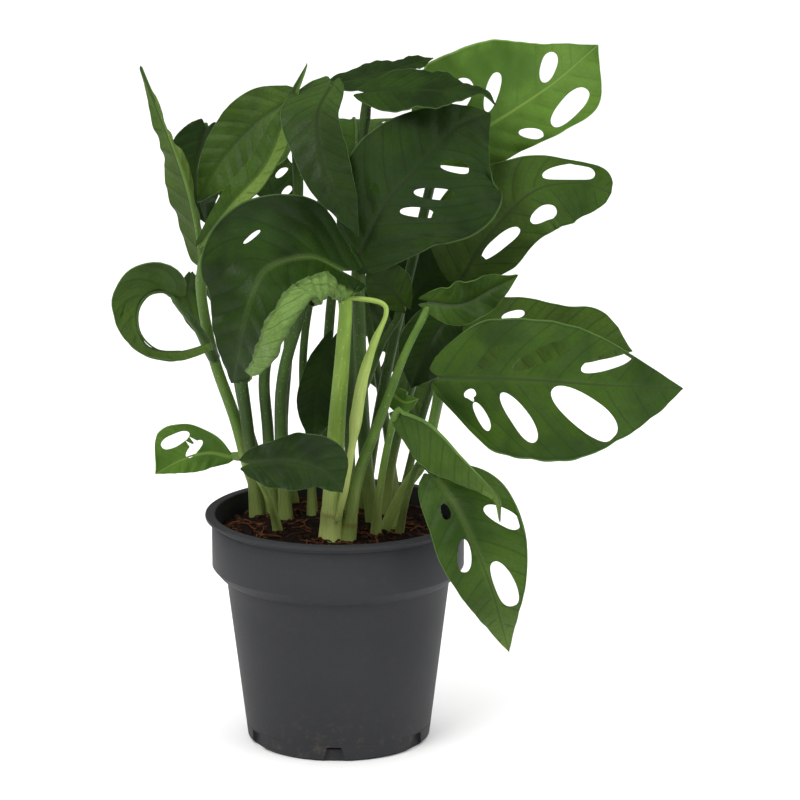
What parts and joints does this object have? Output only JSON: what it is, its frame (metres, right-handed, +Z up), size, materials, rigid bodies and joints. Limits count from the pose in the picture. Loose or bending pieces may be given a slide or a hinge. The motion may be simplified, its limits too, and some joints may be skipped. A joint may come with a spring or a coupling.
{
  "type": "potted monstera plant",
  "caption": "Small potted monstera with pierced, folded leaves on slender green stems, in a dark round nursery pot with soil.",
  "frame": {"origin": "centre of the pot's base disc, on the surface that the pot stands on", "axes": "+Z up, -Y towards the front of the plant, +X to the right seen from the front"},
  "size_m": [0.2511, 0.2068, 0.3183],
  "materials": {
    "pot": "satin moulded plastic, dark grey",
    "soil": "loose dark potting soil with brown fibres",
    "leaf": "semi-gloss living leaf, paler underneath",
    "petiole": "smooth satin green stem",
    "new_leaf": "bright yellow-green rolled new leaf"
  },
  "bodies": {
    "root": {"leaf_arch_left": "leaf", "leaf_back_left": "leaf", "leaf_centre": "leaf", "leaf_cupped": "leaf", "leaf_front_left": "leaf", "leaf_hanging": "leaf", "leaf_inner_left": "leaf", "leaf_inner_mid": "leaf", "leaf_inner_right": "leaf", "leaf_inner_upper": "leaf", "leaf_low_centre": "leaf", "leaf_low_folded": "leaf", "leaf_low_left": "leaf", "leaf_low_right": "leaf", "leaf_rear_high": "leaf", "leaf_rear_left": "leaf", "leaf_rear_right": "leaf", "leaf_right_behind": "leaf", "leaf_right_front": "leaf", "leaf_right_upper": "leaf", "leaf_ring": "leaf", "leaf_small_bright": "leaf", "leaf_small_left": "leaf", "leaf_tall_left": "leaf", "leaf_tall_pointed": "leaf", "leaf_top_dark": "leaf", "leaf_top_right": "leaf", "leaf_top_thin": "leaf", "new_leaf_sheath": "new_leaf", "petiole_arch_left": "petiole", "petiole_back_left": "petiole", "petiole_centre": "petiole", "petiole_cupped": "petiole", "petiole_front_left": "petiole", "petiole_hanging": "petiole", "petiole_inner_left": "petiole", "petiole_inner_mid": "petiole", "petiole_inner_right": "petiole", "petiole_inner_upper": "petiole", "petiole_low_centre": "petiole", "petiole_low_folded": "petiole", "petiole_low_left": "petiole", "petiole_low_right": "petiole", "petiole_rear_high": "petiole", "petiole_rear_left": "petiole", "petiole_rear_right": "petiole", "petiole_right_behind": "petiole", "petiole_right_front": "petiole", "petiole_right_upper": "petiole", "petiole_ring": "petiole", "petiole_small_bright": "petiole", "petiole_small_left": "petiole", "petiole_tall_left": "petiole", "petiole_tall_pointed": "petiole", "petiole_top_dark": "petiole", "petiole_top_right": "petiole", "petiole_top_thin": "petiole", "pot": "pot", "soil": "soil"}
  },
  "joints": []
}
